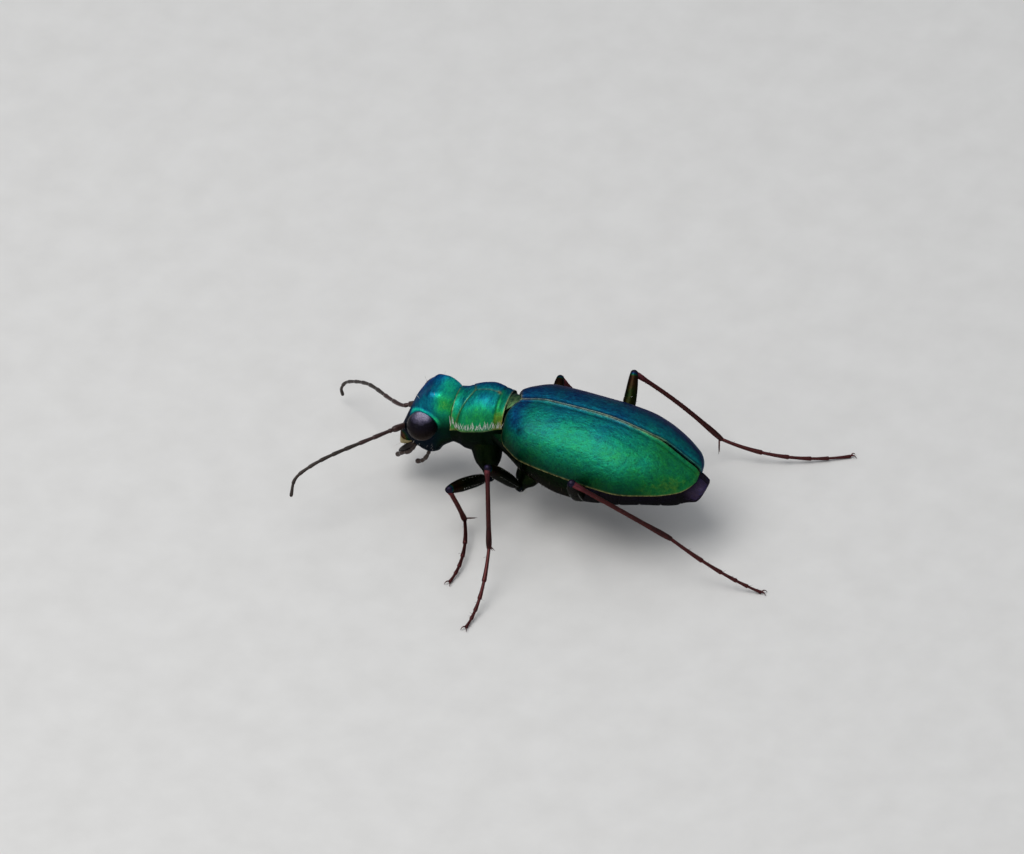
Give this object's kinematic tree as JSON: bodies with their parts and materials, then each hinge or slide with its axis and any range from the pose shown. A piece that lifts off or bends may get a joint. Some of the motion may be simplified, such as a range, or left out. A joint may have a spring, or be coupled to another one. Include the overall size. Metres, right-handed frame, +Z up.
{
  "type": "tiger beetle",
  "caption": "Green tiger beetle standing alert on long legs, antennae held forward, a still life-size model.",
  "frame": {"origin": "on the floor, under the middle of the beetle's box", "axes": "-Y towards the head, +X the beetle's left, +Z up"},
  "size_m": [0.0168, 0.0212, 0.0054],
  "materials": {
    "shell": "metallic green cuticle with a blue and copper sheen",
    "body": "dark metallic green cuticle",
    "eye": "glossy dark compound eye",
    "leg": "dark red-brown metallic cuticle",
    "feeler": "dark brown satin cuticle",
    "lip": "cream-yellow satin cuticle"
  },
  "bodies": {
    "root": {"elytron_left": "shell", "elytron_right": "shell", "scutellum": "shell", "prothorax": "shell", "head": "shell", "pterothorax": "body", "abdomen": "body", "eye_left": "eye", "eye_right": "eye", "labrum": "lip", "mandible_left": "lip", "mandible_right": "lip", "palp_outer_left": "feeler", "palp_outer_right": "feeler", "palp_inner_left": "feeler", "palp_inner_right": "feeler", "antenna_left_root": "feeler", "antenna_left_middle": "feeler", "antenna_left_tip": "feeler", "antenna_right_root": "feeler", "antenna_right_middle": "feeler", "antenna_right_tip": "feeler", "leg_front_left_femur": "body", "leg_front_left_tibia": "leg", "leg_front_left_tarsus": "leg", "leg_front_right_femur": "body", "leg_front_right_tibia": "leg", "leg_front_right_tarsus": "leg", "leg_middle_left_femur": "body", "leg_middle_left_tibia": "leg", "leg_middle_left_tarsus": "leg", "leg_middle_right_femur": "body", "leg_middle_right_tibia": "leg", "leg_middle_right_tarsus": "leg", "leg_hind_left_femur": "body", "leg_hind_left_tibia": "leg", "leg_hind_left_tarsus": "leg", "leg_hind_right_femur": "body", "leg_hind_right_tibia": "leg", "leg_hind_right_tarsus": "leg"}
  },
  "joints": []
}
